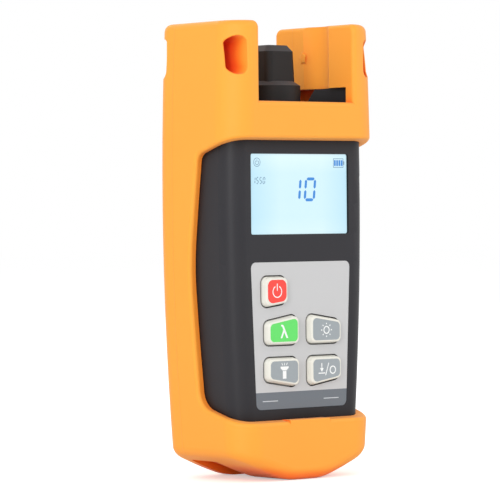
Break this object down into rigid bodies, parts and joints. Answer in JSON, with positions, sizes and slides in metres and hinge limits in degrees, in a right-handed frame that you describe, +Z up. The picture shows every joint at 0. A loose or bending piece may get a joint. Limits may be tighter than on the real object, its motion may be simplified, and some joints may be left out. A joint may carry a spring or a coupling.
{
  "type": "optical power meter",
  "caption": "Handheld fibre-optic power meter with backlit display, rubber keys, a capped top connector and a two-eared rubber boot.",
  "frame": {"origin": "centre of the bounding box's bottom, on the surface the meter stands on", "axes": "+Z up along the meter's length towards the connector, display faces -Y, +X to the right seen from the front"},
  "size_m": [0.0816, 0.0506, 0.1886],
  "materials": {
    "boot_rubber": "satin moulded",
    "housing_plastic": "fine spark texture",
    "window_plastic": "polished clear acrylic",
    "display_glass": "polished",
    "white_plastic": "satin",
    "panel_film": "fine matte film",
    "key_rubber": "soft matte",
    "gold_contact": "plated",
    "board_laminate": "solder mask",
    "chip_plastic": "matte",
    "screw_steel": "zinc plated",
    "spring_steel": "nickel plated",
    "nickel": "satin nickel",
    "zirconia": "polished",
    "led_epoxy": "clear",
    "cell_can": "printed sleeve",
    "cap_rubber": "soft matte"
  },
  "bodies": {
    "meter": {"boot": "boot_rubber", "front_housing": "housing_plastic", "rear_housing": "housing_plastic", "lcd_window": "window_plastic", "lcd_glass": "display_glass", "lcd_frame": "white_plastic", "backlight_guide": "white_plastic", "keypad_panel": "panel_film", "keymat": "key_rubber", "key_contacts": "gold_contact", "main_board": "board_laminate", "board_chips": "chip_plastic", "sensor_board": "board_laminate", "case_screws": "screw_steel", "battery_contacts_lower": "spring_steel", "battery_contacts_upper": "spring_steel", "connector_body": "nickel", "connector_nut": "nickel", "ferrule_sleeve": "zirconia", "photodiode": "spring_steel", "torch_led": "led_epoxy", "battery_1": "cell_can", "battery_2": "cell_can", "battery_3": "cell_can"},
    "dust_cap": {"dust_cap": "cap_rubber"},
    "battery_door": {"battery_door": "housing_plastic"},
    "key_power": {"key_power": "key_rubber"},
    "key_wavelength": {"key_wavelength": "key_rubber"},
    "key_light": {"key_light": "key_rubber"},
    "key_torch": {"key_torch": "key_rubber"},
    "key_reference": {"key_reference": "key_rubber"}
  },
  "joints": [
    {"name": "key_power_press", "type": "slide", "parent": "meter", "child": "key_power", "axis": [0, 1, 0], "range_m": [0, 0.001], "stiffness_N_per_m": 1500, "springref_m": -0.0003},
    {"name": "key_wavelength_press", "type": "slide", "parent": "meter", "child": "key_wavelength", "axis": [0, 1, 0], "range_m": [0, 0.001], "stiffness_N_per_m": 1500, "springref_m": -0.0003},
    {"name": "key_light_press", "type": "slide", "parent": "meter", "child": "key_light", "axis": [0, 1, 0], "range_m": [0, 0.001], "stiffness_N_per_m": 1500, "springref_m": -0.0003},
    {"name": "key_torch_press", "type": "slide", "parent": "meter", "child": "key_torch", "axis": [0, 1, 0], "range_m": [0, 0.001], "stiffness_N_per_m": 1500, "springref_m": -0.0003},
    {"name": "key_reference_press", "type": "slide", "parent": "meter", "child": "key_reference", "axis": [0, 1, 0], "range_m": [0, 0.001], "stiffness_N_per_m": 1500, "springref_m": -0.0003},
    {"name": "dust_cap_lift", "type": "slide", "parent": "meter", "child": "dust_cap", "axis": [0, 0, 1], "range_m": [0, 0.03]},
    {"name": "battery_door_pull", "type": "slide", "parent": "meter", "child": "battery_door", "axis": [0, 1, 0], "range_m": [0, 0.018]}
  ]
}
